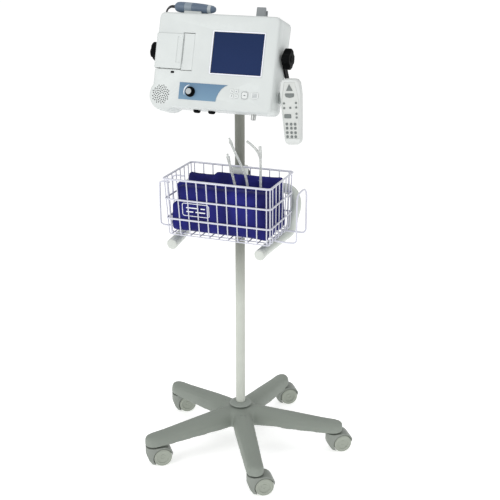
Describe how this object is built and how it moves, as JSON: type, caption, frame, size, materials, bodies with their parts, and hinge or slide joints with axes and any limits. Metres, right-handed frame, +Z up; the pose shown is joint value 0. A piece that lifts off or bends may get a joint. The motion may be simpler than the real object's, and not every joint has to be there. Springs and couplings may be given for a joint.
{
  "type": "patient monitor",
  "caption": "Vascular patient monitor on a wheeled stand: tilting console with printer, probe and remote, wire basket with cuffs, push handle.",
  "frame": {"origin": "on the floor under the centre of the stand's footprint", "axes": "+Z up, -Y the way the screen faces, +X to the right of someone facing the screen"},
  "size_m": [0.5591, 0.5455, 1.1995],
  "materials": {
    "case_shell": "fine spark texture, satin",
    "base_plastic": "moulded glass-filled nylon, satin",
    "caster_plastic": "moulded nylon, satin",
    "caster_tread": "soft grey non-marking tread on a nylon centre",
    "pole_steel": "powder coated tube",
    "wire_coating": "white powder coated wire",
    "clamp_plastic": "moulded, satin white",
    "handle_coating": "white powder coated tube",
    "cuff_fabric": "royal blue woven nylon",
    "hose_pvc": "translucent flexible tube",
    "black_plastic": "black moulding, satin",
    "yoke_paint": "black powder coated flat bar",
    "lens": "clear window over a dark blue display",
    "inner_dark": "dark moulding",
    "board": "green laminate",
    "supply_can": "folded sheet case",
    "paper": "thermal paper",
    "overlay_film": "printed polyester film",
    "key_rubber": "near-white silicone",
    "plug_metal": "plated",
    "probe_body": "blue-grey moulding",
    "cable_jacket": "black cable jacket",
    "clip_plastic": "grey moulding",
    "remote_shell": "white moulding, satin",
    "remote_keys": "mid grey silicone"
  },
  "bodies": {
    "stand": {"base_star": "base_plastic", "hub_collar": "base_plastic", "pole": "pole_steel", "basket_front": "wire_coating", "basket_back": "wire_coating", "basket_left": "wire_coating", "basket_right": "wire_coating", "basket_floor": "wire_coating", "basket_bracket": "clamp_plastic", "handle_clamp": "clamp_plastic", "push_handle": "handle_coating", "wire_hook_left": "wire_coating", "wire_hook_right": "wire_coating", "cuff_front": "cuff_fabric", "cuff_middle": "cuff_fabric", "cuff_rear": "cuff_fabric", "cuff_hose_left": "hose_pvc", "cuff_hose_middle": "hose_pvc", "cuff_hose_right": "hose_pvc", "tilt_yoke": "yoke_paint"},
    "console": {"front_shell": "case_shell", "rear_shell": "case_shell", "screen_lens": "lens", "lcd_module": "inner_dark", "main_board": "board", "power_supply": "supply_can", "printer_mechanism": "case_shell", "control_overlay": "overlay_film", "speaker": "black_plastic", "cuff_sockets": "black_plastic", "probe_connector": "plug_metal", "probe_cradle": "case_shell", "accessory_clip": "clip_plastic", "probe_cable": "cable_jacket", "probe_cable_coil": "cable_jacket", "probe_cable_tail": "cable_jacket", "remote_holster": "case_shell"},
    "bracket_knob": {"bracket_knob": "black_plastic"},
    "tilt_knob_left": {"tilt_knob_left": "black_plastic"},
    "tilt_knob_right": {"tilt_knob_right": "black_plastic"},
    "volume_knob": {"volume_knob": "black_plastic"},
    "printer_door": {"printer_door": "case_shell"},
    "door_latch": {"door_latch": "black_plastic"},
    "paper_roll": {"paper_roll": "paper"},
    "cursor_keys": {"cursor_keys": "key_rubber"},
    "select_key": {"select_key": "key_rubber"},
    "print_key": {"print_key": "key_rubber"},
    "doppler_probe": {"doppler_probe": "probe_body"},
    "remote": {"remote_case": "remote_shell", "remote_keypad": "remote_keys"},
    "caster_1": {"caster_hood_1": "caster_plastic"},
    "wheels_1": {"caster_wheels_1": "caster_tread"},
    "caster_2": {"caster_hood_2": "caster_plastic"},
    "wheels_2": {"caster_wheels_2": "caster_tread"},
    "caster_3": {"caster_hood_3": "caster_plastic"},
    "wheels_3": {"caster_wheels_3": "caster_tread"},
    "caster_4": {"caster_hood_4": "caster_plastic"},
    "wheels_4": {"caster_wheels_4": "caster_tread"},
    "caster_5": {"caster_hood_5": "caster_plastic"},
    "wheels_5": {"caster_wheels_5": "caster_tread"}
  },
  "joints": [
    {"name": "caster_swivel_1", "type": "hinge", "parent": "stand", "child": "caster_1", "pos_m": [-0.1969, -0.21504, 0.06], "axis": [0, 0, 1], "continuous": true},
    {"name": "wheel_spin_1", "type": "hinge", "parent": "caster_1", "child": "wheels_1", "pos_m": [-0.18113, -0.20273, 0.02469], "axis": [-0.6157, 0.788, 0], "continuous": true},
    {"name": "caster_swivel_2", "type": "hinge", "parent": "stand", "child": "caster_2", "pos_m": [0.10381, -0.24984, 0.06], "axis": [0, 0, 1], "continuous": true},
    {"name": "wheel_spin_2", "type": "hinge", "parent": "caster_2", "child": "wheels_2", "pos_m": [0.12039, -0.23865, 0.02469], "axis": [-0.5592, 0.829, 0], "continuous": true},
    {"name": "caster_swivel_3", "type": "hinge", "parent": "stand", "child": "caster_3", "pos_m": [0.22982, 0.0254, 0.06], "axis": [0, 0, 1], "continuous": true},
    {"name": "wheel_spin_3", "type": "hinge", "parent": "caster_3", "child": "wheels_3", "pos_m": [0.246, 0.03715, 0.02469], "axis": [-0.5878, 0.809, 0], "continuous": true},
    {"name": "caster_swivel_4", "type": "hinge", "parent": "stand", "child": "caster_4", "pos_m": [0.007, 0.23029, 0.06], "axis": [0, 0, 1], "continuous": true},
    {"name": "wheel_spin_4", "type": "hinge", "parent": "caster_4", "child": "wheels_4", "pos_m": [0.02338, 0.24177, 0.02469], "axis": [-0.5736, 0.8192, 0], "continuous": true},
    {"name": "caster_swivel_5", "type": "hinge", "parent": "stand", "child": "caster_5", "pos_m": [-0.25673, 0.08169, 0.06], "axis": [0, 0, 1], "continuous": true},
    {"name": "wheel_spin_5", "type": "hinge", "parent": "caster_5", "child": "wheels_5", "pos_m": [-0.24035, 0.09316, 0.02469], "axis": [-0.5736, 0.8192, 0], "continuous": true},
    {"name": "console_tilt", "type": "hinge", "parent": "stand", "child": "console", "pos_m": [-0.0226, -0.14361, 1.08499], "axis": [1, 0, 0], "range_deg": [-25, 20]},
    {"name": "tilt_clamp_left", "type": "hinge", "parent": "stand", "child": "tilt_knob_left", "pos_m": [-0.1781, -0.14361, 1.08499], "axis": [-1, 0, 0], "range_deg": [0, 180]},
    {"name": "tilt_clamp_right", "type": "hinge", "parent": "stand", "child": "tilt_knob_right", "pos_m": [0.1329, -0.14361, 1.08499], "axis": [1, 0, 0], "range_deg": [0, 180]},
    {"name": "bracket_clamp", "type": "hinge", "parent": "stand", "child": "bracket_knob", "pos_m": [-0.0226, -0.0032, 0.764], "axis": [0, 1, 0], "range_deg": [0, 360]},
    {"name": "volume_turn", "type": "hinge", "parent": "console", "child": "volume_knob", "pos_m": [-0.0741, -0.2071, 1.00752], "axis": [0, 0.9519, -0.3064], "range_deg": [-150, 150]},
    {"name": "door_hinge", "type": "hinge", "parent": "console", "child": "printer_door", "pos_m": [-0.1686, -0.16564, 1.08998], "axis": [0, -0.3064, -0.9519], "range_deg": [0, 62]},
    {"name": "latch_push", "type": "slide", "parent": "console", "child": "door_latch", "axis": [0, 0.9519, -0.3064], "range_m": [0, 0.0008], "stiffness_N_per_m": 400, "springref_m": -0.001},
    {"name": "cursor_push", "type": "slide", "parent": "console", "child": "cursor_keys", "axis": [0, 0.9519, -0.3064], "range_m": [0, 0.001], "stiffness_N_per_m": 600, "springref_m": -0.001},
    {"name": "select_push", "type": "slide", "parent": "console", "child": "select_key", "axis": [0, 0.9519, -0.3064], "range_m": [0, 0.001], "stiffness_N_per_m": 600, "springref_m": -0.001},
    {"name": "print_push", "type": "slide", "parent": "console", "child": "print_key", "axis": [0, 0.9519, -0.3064], "range_m": [0, 0.001], "stiffness_N_per_m": 600, "springref_m": -0.001},
    {"name": "paper_spin", "type": "hinge", "parent": "console", "child": "paper_roll", "pos_m": [-0.1331, -0.15136, 1.08539], "axis": [0, 0.3064, 0.9519], "continuous": true},
    {"name": "probe_lift", "type": "slide", "parent": "console", "child": "doppler_probe", "axis": [0, 0.3064, 0.9519], "range_m": [0, 0.03]},
    {"name": "remote_lift", "type": "slide", "parent": "console", "child": "remote", "axis": [-0.0698, 0, 0.9976], "range_m": [0, 0.06]}
  ]
}
